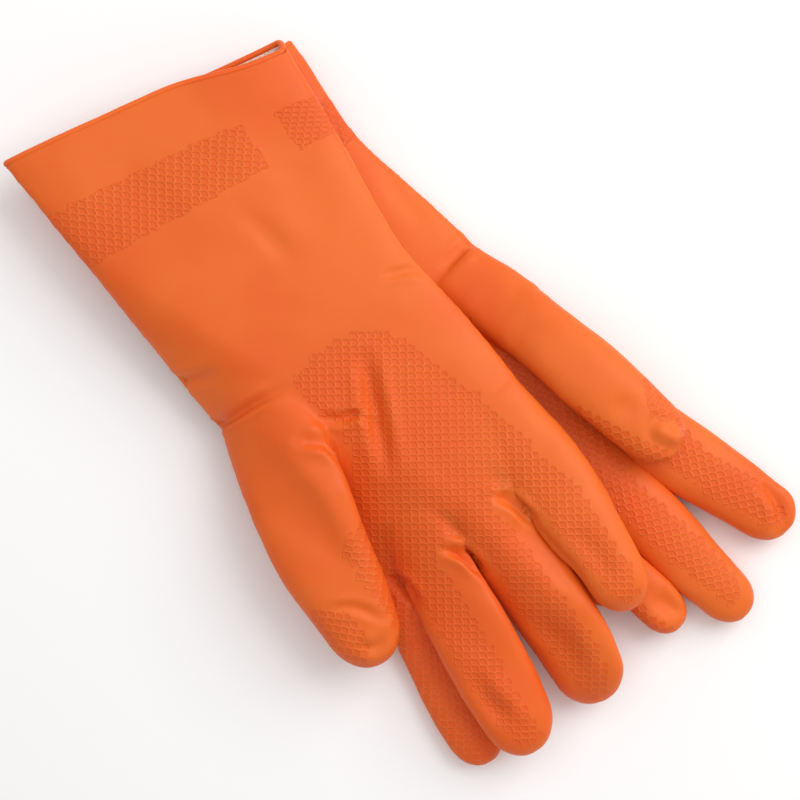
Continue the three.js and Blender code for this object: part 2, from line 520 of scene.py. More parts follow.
@dataclass(frozen=True)
class Latex:
    """Dipped latex: a soft sheen, faint clouding, the grip's raised net, and painted shade down in the
    grip's cells.

    Attributes:
        deep: Colour where the skin is thick.
        pale: Colour where it is thin or stretched.
        painted_cell_shade: Painted shade, a darker colour laid down in the grip's cells.
        roughness: Least and most roughness.
        ridge: Height of the grip's net.
    """

    deep: Colour = (0.82, 0.116, 0.014, 1.0)
    pale: Colour = (0.84, 0.148, 0.019, 1.0)
    painted_cell_shade: Colour = (0.78, 0.092, 0.012, 1.0)
    roughness: tuple[float, float] = (0.40, 0.54)
    ridge: float = 0.00022

    def material(self) -> bpy.types.Material:
        """Builds the material.

        Returns:
            The material.
        """
        made = bpy.data.materials.new("dipped_latex")
        made.use_nodes = True
        tree = Tree(made.node_tree)
        place = tree.node("ShaderNodeTexCoord", output="Object")
        cloud = tree.node("ShaderNodeTexNoise", None, {"Vector": place, "Scale": 18.0, "Detail": 2.0})
        grain = tree.node("ShaderNodeTexNoise", None, {"Vector": place, "Scale": 1500.0, "Detail": 2.0})
        mask = tree.node("ShaderNodeAttribute", {"attribute_name": "grip"}, output="Fac").ramp(0.4, 0.6)
        net = self.net(tree)
        tint = tree.mix(cloud.ramp(0.35, 0.65), self.deep, self.pale)
        # Painted shade: the grip's cells take the darker cell colour while the raised net keeps the base
        # tint.
        colour = tree.mix(mask * (1 - net) * 0.55, tint, self.painted_cell_shade)
        rough = self.roughness[0] + (self.roughness[1] - self.roughness[0]) * cloud
        raised = {"Strength": 1.0, "Distance": self.ridge, "Height": mask * net + grain * 0.05}
        relief = tree.node("ShaderNodeBump", None, raised)
        shader = tree.node(
            "ShaderNodeBsdfPrincipled",
            None,
            {
                "Base Color": colour,
                "Roughness": rough,
                "Normal": relief,
                "IOR": 1.48,
                "Specular IOR Level": 0.26,
                "Subsurface Weight": 0.22,
                "Subsurface Radius": (1.0, 0.25, 0.1),
                "Subsurface Scale": 0.003,
            },
        )
        tree.node("ShaderNodeOutputMaterial", None, {"Surface": shader})
        return made

    @staticmethod
    def net(tree: Tree) -> Socket:
        """Draws the grip's net: 1 on a ridge, 0 down in a cell.

        Args:
            tree: The material's tree.

        Returns:
            The net's height.
        """
        cells = tree.node("ShaderNodeUVMap", {"uv_map": "grip_cells"})
        parts = [tree.node("ShaderNodeSeparateXYZ", None, {"Vector": cells}, axis) for axis in ("X", "Y")]
        along = parts[0] + (parts[1] * 2 * math.pi).sine() * 0.07
        across = parts[1] + (parts[0] * 2 * math.pi).sine() * 0.03
        from_middle = [abs(part.fraction() - 0.5) * 2 for part in (along, across)]
        return ((from_middle[0] ** 4.0 + from_middle[1] ** 4.0) ** (1 / 4.0)).ramp(0.62, 1.0)


@dataclass(frozen=True)
class Flock:
    """The short soft pile inside a glove.

    Attributes:
        light: Colour of the fibre tips.
        shade: Colour between the fibres.
        pressed: Colour where the rubber shows through, between two stalls.
    """

    light: Colour = (0.90, 0.70, 0.62, 1.0)
    shade: Colour = (0.72, 0.42, 0.34, 1.0)
    pressed: Colour = (0.80, 0.11, 0.014, 1.0)

    def material(self) -> bpy.types.Material:
        """Builds the material.

        Returns:
            The material.
        """
        made = bpy.data.materials.new("cotton_flock")
        made.use_nodes = True
        tree = Tree(made.node_tree)
        place = tree.node("ShaderNodeTexCoord", output="Object")
        pile = tree.node("ShaderNodeTexNoise", None, {"Vector": place, "Scale": 1100.0, "Detail": 4.0})
        fibre = tree.mix(pile.ramp(0.3, 0.65), self.shade, self.light)
        web = tree.node("ShaderNodeAttribute", {"attribute_name": "web"}, output="Fac").ramp(0.0, 0.3)
        colour = tree.mix(web, fibre, self.pressed)
        relief = tree.node("ShaderNodeBump", None, {"Strength": 0.8, "Distance": 0.0004, "Height": pile})
        shader = tree.node(
            "ShaderNodeBsdfPrincipled",
            None,
            {
                "Base Color": colour,
                "Roughness": 0.95,
                "Normal": relief,
                "Sheen Weight": 0.4,
                "Sheen Roughness": 0.5,
            },
        )
        tree.node("ShaderNodeOutputMaterial", None, {"Surface": shader})
        return made


@dataclass
class Pile:
    """How the upper glove is carried by the lower one.

    Attributes:
        height: Rise of the upper glove where it lies on the lower one.
        edge: A plan point on the lower glove's free edge.
        towards: Plan direction across that edge, towards the lower glove.
        ramp: Where the upper glove climbs, measured in that direction.
    """

    height: float = 18.5
    edge: Plan = (-80.4, 113.8)
    towards: Plan = (0.898, 0.44)
    ramp: tuple[float, float] = (-46.0, 4.0)

    def rise(self, points: np.ndarray) -> np.ndarray:
        """Gives the lift at each place."""
        across = (points[:, :2] - np.array(self.edge)) @ np.array(self.towards)
        return self.height * smoothstep(*self.ramp, across)


@dataclass
class Spots:
    """Points of a skin, and where each lies against a glove's runs.

    Attributes:
        points: Places in millimetres.
        label: Index of each point's nearest run.
        along: Distance along every run.
        across: Distance across every run.
        radius: Section radius in every run, 1 on its surface.
    """

    points: np.ndarray
    label: np.ndarray
    along: np.ndarray
    across: np.ndarray
    radius: np.ndarray


@dataclass
class Skin:
    """A glove's outer skin as arrays, with what each point and face belongs to.

    Attributes:
        points: Places in millimetres.
        normals: Outward directions.
        faces: Point numbers of each face.
        zones: Zone of each face.
        cells: Grip cell coordinates of each point.
        grip: Strength of the grip at each point.
        room: How deep a wall may be at each point without meeting the far side.
        web: 1 where two stalls press together, 0 elsewhere.
    """

    points: np.ndarray
    normals: np.ndarray
    faces: list[Face]
    zones: np.ndarray
    cells: np.ndarray
    grip: np.ndarray
    room: np.ndarray
    web: np.ndarray


@dataclass
class Glove:
    """One glove: a gauntlet, a hand, five stalls, their linings and the bead.

    Attributes:
        side: Which hand it is for, as the names of its pieces begin.
        hand: The run from the mouth to the knuckles.
        stalls: The five finger stalls.
        bends: Where each zone is parted from the hand.
        folds: Creases and hollows of the palm side.
        grips: Plan outlines of the grip's patches off the thumb.
        thumb_grips: Plan outlines of those on the thumb.
        spread: How each stall is moved aside while the skin is made, from where and over what distance.
        thumb_root: Distance along the thumb up to which it is part of the palm.
        lean: How far the mouth slants, forward at one corner and back at the other.
        band: Distances from the mouth between which the gauntlet's grip band runs.
        band_gap: Distances across between which the band is left smooth.
        gape: How far the front wall of the mouth is drawn back, and across what stretch.
        pile: What carries the glove, if anything does.
        seed: Start of the soft unevenness.
    """

    side: str
    hand: Run
    stalls: dict[Digit, Run]
    bends: dict[str, Bend]
    folds: tuple[Fold, ...]
    grips: tuple[tuple[Plan, ...], ...]
    thumb_grips: tuple[tuple[Plan, ...], ...]
    spread: dict[Digit, tuple[Place, float, float]]
    thumb_root: float
    lean: float = 0.0
    band: tuple[float, float] = (24.4, 47.5)
    band_gap: tuple[float, float] = (200.0, 201.0)
    gape: tuple[float, float, float] = (0.0, 10.0, 50.0)
    pile: Pile | None = None
    seed: float = 0.0
    grip: Grip = field(default_factory=Grip)

    def __post_init__(self) -> None:
        """Sets the stalls apart, as they are while the skin is made."""
        self.apart = {HAND: self.hand}
        self.apart |= {digit.value: run.moved(*self.spread[digit]) for digit, run in self.stalls.items()}

    @property
    def runs(self) -> dict[str, Run]:
        """All runs by zone name, the hand first."""
        return {HAND: self.hand, **{digit.value: run for digit, run in self.stalls.items()}}

    def on_thumb(self, spots: Spots) -> np.ndarray:
        """Tells which points are on the thumb, past its root in the palm."""
        index = list(self.runs).index(THUMB)
        return (spots.label == index) & (spots.along[index] > self.thumb_root)

    def cut(self, zone: str) -> float:
        """Gives the distance along its run at which a zone is parted."""
        bend = self.bends[zone]
        if zone == HAND:
            return bend.hinge + bend.lead
        return self.runs[zone].length - bend.hinge - bend.lead

    def label(self, points: np.ndarray) -> Spots:
        """Says which run each point belongs to while the stalls are apart."""
        found = [run.locate(points) for run in self.apart.values()]
        along, across, radius = (np.array([part[k] for part in found]) for k in range(3))
        return Spots(points, radius.argmin(axis=0), along, across, radius)

    def gather(self, spots: Spots) -> np.ndarray:
        """Brings the stalls together again.

        Args:
            spots: The skin while the stalls are apart.

        Returns:
            The places with every stall where it belongs.
        """
        share = np.exp(-CLING * (spots.radius - spots.radius.min(axis=0)))
        share /= share.sum(axis=0)
        made = spots.points.copy()
        for index, digit in enumerate(self.stalls, start=1):
            run = self.apart[digit.value]
            aside = np.interp(spots.along[index], run.along, run.aside)
            made -= np.outer(share[index] * aside, self.spread[digit][0])
        return made

    def cast(self, voxel: float) -> bpy.types.Mesh:
        """Joins the hand and stalls into one smooth closed skin.

        Args:
            voxel: Size of the cells that it is rebuilt from.

        Returns:
            The mesh, in millimetres.
        """
        points: list[np.ndarray] = []
        faces: list[Face] = []
        start = 0
        for zone, run in self.apart.items():
            made, skin = run.loft(-8.0 if zone == HAND else 0.0, zone != HAND)
            faces += [tuple(start + k for k in face) for face in skin]
            points.append(made)
            start += len(made)
        mesh = bpy.data.meshes.new("cast")
        mesh.from_pydata(np.concatenate(points).tolist(), [], faces)
        mould = placed("cast", mesh)
        remesh = mould.modifiers.new("join", "REMESH")
        remesh.mode, remesh.voxel_size, remesh.use_smooth_shade = "VOXEL", voxel, True
        smooth = mould.modifiers.new("ease", "SMOOTH")
        smooth.factor, smooth.iterations = 0.5, 12
        whole = bpy.data.meshes.new_from_object(mould.evaluated_get(bpy.context.evaluated_depsgraph_get()))
        bpy.data.objects.remove(mould)
        return whole

    def part(self, mesh: bpy.types.Mesh) -> None:
        """Scores the skin along every cut and opens the mouth.

        Args:
            mesh: The closed skin, which is changed.
        """
        skin = bmesh.new()
        skin.from_mesh(mesh)
        skin.verts.ensure_lookup_table()
        places = np.array([v.co for v in skin.verts])
        spots = self.label(places)
        mouth, ahead, _, _ = self.hand.section(0.0)
        planes = []
        for index, (zone, run) in enumerate(self.apart.items()):
            near = np.abs(spots.along[index] - self.cut(zone)) < CUT_REACH
            if zone != HAND:
                near &= spots.label == index
            centre, forward, _, _ = run.section(self.cut(zone))
            faces = [f for f in skin.faces if all(near[v.index] for v in f.verts)]
            planes.append((centre, forward, faces))
        for centre, forward, faces in planes:
            edges = {edge for face in faces for edge in face.edges}
            verts = {vert for face in faces for vert in face.verts}
            bmesh.ops.bisect_plane(
                skin,
                geom=[*verts, *edges, *faces],
                dist=1e-3,
                plane_co=Vector((centre[0], centre[1], 0.0)),
                plane_no=Vector((forward[0], forward[1], 0.0)),
            )
        bmesh.ops.bisect_plane(
            skin,
            geom=[*skin.verts, *skin.edges, *skin.faces],
            dist=1e-3,
            plane_co=Vector((mouth[0], mouth[1], 0.0)),
            plane_no=Vector((ahead[0], ahead[1], 0.0)),
            clear_inner=True,
        )
        skin.to_mesh(mesh)
        skin.free()

    def waves(self, points: np.ndarray) -> np.ndarray:
        """Gives the soft unevenness of the skin at each place."""
        return np.array(
            [
                SWELL[0] * noise.noise(Vector((x, y, z * 2 + self.seed)) / SWELL[1])
                + RIPPLE[0] * noise.noise(Vector((x, y, z * 2 - self.seed)) / RIPPLE[1])
                for x, y, z in points
            ]
        )

    def drawn(self, spots: Spots) -> np.ndarray:
        """Gives how far the front wall of the mouth is drawn back at each point."""
        reach, low, high = self.gape
        rise = spots.points[:, 2] - self.hand.rows[0][2]
        front = smoothstep(low, high, spots.across[0]) * smoothstep(-1.0, 3.0, rise)
        return reach * front * (1 - smoothstep(0, GAPE_REACH, spots.along[0]))

    def sculpt(self, spots: Spots, normals: np.ndarray) -> np.ndarray:
        """Presses the folds in, adds soft unevenness and draws the mouth open.

        Args:
            spots: The smooth skin.
            normals: Outward directions there.

        Returns:
            The new places, lifted onto the pile where there is one.
        """
        thumb = self.on_thumb(spots)
        facing = smoothstep(*PALM_SIDE, normals[:, 2])
        sink = np.zeros(len(thumb))
        for fold in self.folds:
            here = np.flatnonzero((thumb == fold.on_thumb) & (facing > 0))
            sink[here] += fold.drop(spots.points[here])
        made = spots.points - normals * (sink * facing - self.waves(spots.points))[:, None]
        _, ahead, wide, _ = self.hand.section(0.0)
        near_mouth = 1 - smoothstep(0, LEAN_REACH, spots.along[0])
        slant = self.lean * np.clip(spots.across[0] / wide, -1.0, 1.0) * near_mouth
        drawn = self.drawn(spots)
        made[:, :2] += (slant + drawn)[:, None] * ahead
        made[:, 2] = np.maximum(made[:, 2] + drawn * GAPE_LIFT, FLOOR_GAP)
        if self.pile:
            made[:, 2] += self.pile.rise(made)
        return made

    def mark(self, spots: Spots, normals: np.ndarray) -> tuple[np.ndarray, np.ndarray]:
        """Lays the grip's cells over the skin.

        Args:
            spots: The smooth skin.
            normals: Outward directions there.

        Returns:
            Cell coordinates and the strength of the grip at each point.
        """
        points, along, across = spots.points, spots.along, spots.across
        thumb = self.on_thumb(spots)
        _, straight, _, _ = self.hand.section(self.hand.length * 0.5)
        heading = math.atan2(straight[1], straight[0])
        cells = self.grip.cells(points[:, :2], heading)
        middle = self.grip.places(np.floor(cells) + 0.5, heading)
        grip = (along[0] > self.band[0]) & (along[0] < self.band[1])
        grip &= (across[0] < self.band_gap[0]) | (across[0] > self.band_gap[1])
        for outline in self.grips:
            grip |= inside(np.array(outline), middle)
        run, s = self.stalls[Digit.THUMB], list(self.runs).index(THUMB)
        local = np.column_stack([along[s], across[s]])[thumb]
        cells[thumb] = self.grip.cells(local, 0.0)
        offset = self.grip.places(np.floor(cells[thumb]) + 0.5 - cells[thumb], 0.0)
        ahead = np.column_stack([np.interp(local[:, 0], run.along, run.ahead[:, c]) for c in range(2)])
        side = np.column_stack([-ahead[:, 1], ahead[:, 0]])
        middle[thumb] = points[thumb, :2] + offset[:, :1] * ahead + offset[:, 1:] * side
        grip[thumb] = False
        for outline in self.thumb_grips:
            grip |= thumb & inside(np.array(outline), middle)
        return cells, (grip & (normals[:, 2] > GRIP_SIDE)).astype(float)

    @staticmethod
    def reshape(mesh: bpy.types.Mesh, points: np.ndarray) -> np.ndarray:
        """Moves a mesh's points and gives its new normals."""
        mesh.vertices.foreach_set("co", points.astype(np.float32).ravel())
        mesh.update()
        return np.array([v.normal for v in mesh.vertices])

    def zones(self, points: np.ndarray, faces: list[Face]) -> np.ndarray:
        """Says which zone each face belongs to while the stalls are apart."""
        spots = self.label(np.array([points[list(face)].mean(axis=0) for face in faces]))
        zones = np.where(spots.along[0] < self.cut(HAND), "cuff", "palm").astype(object)
        for index, zone in enumerate(self.runs):
            if zone != HAND:
                zones[(spots.label == index) & (spots.along[index] > self.cut(zone))] = zone
        return zones

    def skin(self, voxel: float) -> Skin:
        """Makes the whole outer skin, scored into zones.

        Args:
            voxel: Fineness of the skin.

        Returns:
            The skin.
        """
        mesh = self.cast(voxel)
        self.part(mesh)
        faces = [tuple(p.vertices) for p in mesh.polygons]
        spots = self.label(np.array([v.co for v in mesh.vertices]))
        zones = self.zones(spots.points, faces)
        spots.points = self.gather(spots)
        normals = self.reshape(mesh, spots.points)
        cells, grip = self.mark(spots, normals)
        thumb = self.on_thumb(spots)
        for face in faces:
            if len({bool(thumb[k]) for k in face}) > 1:
                grip[list(face)] = 0.0
        normals = self.reshape(mesh, self.sculpt(spots, normals))
        points = np.array([v.co for v in mesh.vertices])
        bpy.data.meshes.remove(mesh)
        web = 1.0 - smoothstep(*WEB, np.sort(spots.radius[1:], axis=0)[1])
        room = self.room(points, normals, faces) * (1.0 - 0.9 * web)
        return Skin(points, normals, faces, zones, cells, grip, room, web)

    @staticmethod
    def room(points: np.ndarray, normals: np.ndarray, faces: list[Face]) -> np.ndarray:
        """Measures how deep a wall may be under each point.

        Args:
            points: Places on the skin.
            normals: Outward directions there.
            faces: The skin's faces.

        Returns:
            The depth under each point, a little under half of the way to the far side.
        """
        tree = BVHTree.FromPolygons(points.tolist(), faces)
        room = np.full(len(points), LINING[1])
        for k, (point, normal) in enumerate(zip(points, normals)):
            way = Vector(-normal)
            hit = tree.ray_cast(Vector(point) + way * CLEAR, way, LINING[1] * ROOM_REACH)
            if hit[3] is not None:
                room[k] = hit[3] * ROOM_SHARE
        return room

    def wall(self, name: str, skin: Skin, zone: str, depths: tuple[float, float]) -> bpy.types.Object:
        """Makes a closed wall from one zone of the skin.

        Args:
            name: The piece's name.
            skin: The outer skin.
            zone: Which zone to take.
            depths: Depths of the wall's outer and inner faces below the skin.

        Returns:
            The piece, in metres and in place.
        """
        chosen = [face for face, owner in zip(skin.faces, skin.zones) if owner == zone]
        used = np.unique(np.concatenate([np.array(face) for face in chosen]))
        number = {int(k): n for n, k in enumerate(used)}
        count = len(used)
        outer = [tuple(number[k] for k in face) for face in chosen]
        rim = [(b, a, a + count, b + count) for a, b in open_edges(outer)]
        inner = [tuple(count + k for k in reversed(face)) for face in outer]
        share = np.minimum(skin.room[used] / LINING[1], 1.0)[:, None]
        layers = [skin.points[used] - skin.normals[used] * share * depth for depth in depths]
        for layer in layers:
            layer[:, 2] = np.maximum(layer[:, 2], FLOOR_GAP)
        mesh = bpy.data.meshes.new(name)
        mesh.from_pydata(((np.concatenate(layers) + SHIFT) * MM).tolist(), [], outer + inner + rim)
        corners = np.empty(len(mesh.loops), int)
        mesh.loops.foreach_get("vertex_index", corners)
        cells = np.tile(skin.cells[used], (2, 1))
        layout = mesh.uv_layers.new(name="grip_cells").uv
        layout.foreach_set("vector", cells[corners].astype(np.float32).ravel())
        grip = np.concatenate([skin.grip[used], np.zeros(count)]) * (depths[0] == 0.0)
        for label, values in (("grip", grip), ("web", np.tile(skin.web[used], 2))):
            attribute = mesh.attributes.new(label, "FLOAT", "POINT")
            attribute.data.foreach_set("value", values.astype(np.float32))
        mesh.shade_smooth()
        normals = np.concatenate([skin.normals[used], -skin.normals[used]])
        mesh.normals_split_custom_set_from_vertices(normals.tolist())
        return placed(name, mesh)

    def bead_path(self, skin: Skin) -> np.ndarray:
        """Follows the edge of the mouth.

        Args:
            skin: The outer skin.

        Returns:
            The bead's centre line, in order round the mouth.
        """
        onward = dict(open_edges(skin.faces))
        start = next(iter(onward))
        loop = [start]
        while onward[loop[-1]] != start:
            loop.append(onward[loop[-1]])
        _, ahead, _, _ = self.hand.section(0.0)
        path = skin.points[loop] - skin.normals[loop] * (Bead.radius - 0.45)
        for _ in range(6):
            path = (np.roll(path, 1, axis=0) + path * 2 + np.roll(path, -1, axis=0)) / 4
        path[:, :2] -= ahead * (Bead.radius - 0.35)
        path[:, 2] = np.maximum(path[:, 2], Bead.radius + FLOOR_GAP)
        return path

    def build(self, latex: bpy.types.Material, flock: bpy.types.Material) -> list[bpy.types.Object]:
        """Makes every piece of the glove, and joins the palm's pieces and the bead to the frame.

        Args:
            latex: Finish of the rubber.
            flock: Finish of the lining.

        Returns:
            The pieces.
        """
        skin = self.skin(VOXEL)
        pieces = []
        for zone in ("palm", "cuff", *(digit.value for digit in Digit)):
            for suffix, depths, finish in (("", (0.0, RUBBER), latex), ("_lining", LINING, flock)):
                node = f"{self.side}_{zone}{suffix}"
                piece = self.wall(f"{node}_skin", skin, zone, depths)
                self.dress(piece, node, finish)
                self.join(piece, zone)
                pieces.append(piece)
        bead = Bead().build(f"{self.side}_bead_skin", self.bead_path(skin), latex)
        self.dress(bead, f"{self.side}_cuff_bead", latex)
        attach(bead, f"{self.side}_gauntlet")
        return [*pieces, bead]

    def dress(self, piece: bpy.types.Object, node: str, finish: bpy.types.Material) -> None:
        """Gives a piece its finish and lets it stand for its node."""
        piece.data.materials.clear()
        piece.data.materials.append(finish)
        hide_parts(node)

    def join(self, piece: bpy.types.Object, zone: str) -> None:
        """Attaches a palm piece to the hand's body; a piece of any other zone is only baked in place,
        neither attached nor bent.

        Args:
            piece: The piece.
            zone: Its zone.
        """
        if zone == "palm":
            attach(piece, f"{self.side}_hand")
            return
        name = HAND if zone == "cuff" else zone
        run, bend = self.runs[name], self.bends[name]
        start = self.cut(name)
        end = start + (bend.lead + bend.trail) * (-1 if zone == "cuff" else 1)
        ends = [(run.section(at)[0] * (1, 1, 0) + SHIFT) * MM for at in (start, end)]
        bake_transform(piece)


@dataclass(frozen=True)
class Bead:
    """The rolled edge of a mouth, swept along its outline by a node tree.

    Attributes:
        radius: Radius of the roll.
        sides: Facets round the roll.
    """

    radius: float = 1.3
    sides: int = 14

    def tree(self, finish: bpy.types.Material) -> bpy.types.NodeTree:
        """Builds the sweep: an outline in, a closed tube out.

        Args:
            finish: Material of the tube.

        Returns:
            The node tree.
        """
        group = bpy.data.node_groups.new("rolled_bead", "GeometryNodeTree")
        for label, kind in (("Geometry", "Geometry"), ("Radius", "Float"), ("Sides", "Int")):
            group.interface.new_socket(label, in_out="INPUT", socket_type=f"NodeSocket{kind}")
        group.interface.new_socket("Geometry", in_out="OUTPUT", socket_type="NodeSocketGeometry")
        tree = Tree(group)
        given = [tree.node("NodeGroupInput", output=name) for name in ("Geometry", "Radius", "Sides")]
        line = tree.node("GeometryNodeMeshToCurve", None, {"Mesh": given[0]})
        even = tree.node("GeometryNodeResampleCurve", None, {"Curve": line, "Count": 260})
        size = {"Resolution": given[2], "Radius": given[1]}
        ring = tree.node("GeometryNodeCurvePrimitiveCircle", None, size)
        tube = tree.node("GeometryNodeCurveToMesh", None, {"Curve": even, "Profile Curve": ring})
        real = tree.node("GeometryNodeRealizeInstances", None, {"Geometry": tube})
        dressed = tree.node("GeometryNodeSetMaterial", None, {"Geometry": real, "Material": finish})
        tree.node("NodeGroupOutput", None, {"Geometry": dressed})
        return group

    def build(self, name: str, path: np.ndarray, finish: bpy.types.Material) -> bpy.types.Object:
        """Sweeps the bead along a closed path.

        Args:
            name: The piece's name.
            path: Centre line in millimetres.
            finish: Material of the rubber.

        Returns:
            The piece.
        """
        count = len(path)
        edges = [(k, (k + 1) % count) for k in range(count)]
        outline = bpy.data.meshes.new(name)
        outline.from_pydata(((path + SHIFT) * MM).tolist(), edges, [])
        piece = placed(name, outline)
        group = self.tree(finish)
        sweep = piece.modifiers.new("sweep", "NODES")
        sweep.node_group = group
        sizes = {"Radius": self.radius * MM, "Sides": self.sides}
        for item in group.interface.items_tree:
            if item.in_out == "INPUT" and item.name in sizes:
                sweep[item.identifier] = sizes[item.name]
        made = bpy.data.meshes.new_from_object(piece.evaluated_get(bpy.context.evaluated_depsgraph_get()))
        piece.modifiers.clear()
        piece.data = made
        outward = bmesh.new()
        outward.from_mesh(made)
        bmesh.ops.remove_doubles(outward, verts=outward.verts, dist=1e-6)
        bmesh.ops.recalc_face_normals(outward, faces=outward.faces)
        outward.to_mesh(made)
        outward.free()
        made.shade_smooth()
        return piece


@dataclass(frozen=True)
class Studio:
    """Plain pale floor, soft light and the camera.

    Attributes:
        target: Plan point that the camera looks down on, in millimetres.
        up: Direction that stands upright in the view, in degrees from +Y.
        width: Width of the view at the gloves, in metres.
        lens: Focal length in millimetres.
        sky_strength: Strength of the pale sky.
        lamps: Name, bearing from +X, height, size and power of each lamp.
        lamp_distance: Distance of the lamps from the middle, in metres.
    """

    target: Place = (0.0, 0.0, 15.0)
    up: float = -30.0
    width: float = 0.3264
    lens: float = 85.0
    sky_strength: float = 0.51
    lamps: tuple[tuple[str, float, float, float, float], ...] = (
        ("key", 5.0, 44.0, 1.0, 10.8),
        ("top", 80.0, 76.0, 1.4, 5.4),
    )
    lamp_distance: float = 1.3

    def floor(self) -> None:
        """Lays a plain pale floor."""
        bpy.ops.mesh.primitive_plane_add(size=4.0, location=(0.0, 0.0, -0.0004))
        floor = bpy.context.object
        floor.name = "floor"
        made = bpy.data.materials.new("pale_floor")
        made.use_nodes = True
        tree = Tree(made.node_tree)
        shader = tree.node("ShaderNodeBsdfPrincipled", None, {"Base Color": PALE_FLOOR, "Roughness": 0.9})
        tree.node("ShaderNodeOutputMaterial", None, {"Surface": shader})
        floor.data.materials.append(made)

    def light(self) -> None:
        """Hangs the soft lamps and fills with a pale sky."""
        world = bpy.data.worlds.new("studio")
        bpy.context.scene.world = world
        world.use_nodes = True
        tree = Tree(world.node_tree)
        sky = tree.node("ShaderNodeBackground", None, {"Color": SKY, "Strength": self.sky_strength})
        tree.node("ShaderNodeOutputWorld", None, {"Surface": sky})
        for name, bearing, height, size, power in self.lamps:
            lamp = bpy.data.lights.new(name, "AREA")
            lamp.size, lamp.energy = size, power
            place = placed(name, lamp)
            turn, tilt = math.radians(bearing), math.radians(height)
            level = math.cos(tilt)
            away = Vector((math.cos(turn) * level, math.sin(turn) * level, math.sin(tilt)))
            place.location = away * self.lamp_distance
            place.rotation_mode = "QUATERNION"
            place.rotation_quaternion = away.to_track_quat("Z", "Y")

    def camera(self) -> None:
        """Sets the camera straight above the gloves."""
        data = bpy.data.cameras.new("camera")
        data.lens, data.sensor_width = self.lens, SENSOR
        place = placed("camera", data)
        above = Vector((0, 0, self.width * self.lens / SENSOR))
        place.location = Vector((np.array(self.target) + SHIFT) * MM) + above
        place.rotation_euler = (0.0, 0.0, math.radians(self.up))
        bpy.context.scene.camera = place
        bpy.context.scene.view_settings.view_transform = "Standard"

    def build(self) -> None:
        """Sets up everything that isn't the object."""
        self.floor()
        self.light()
        self.camera()


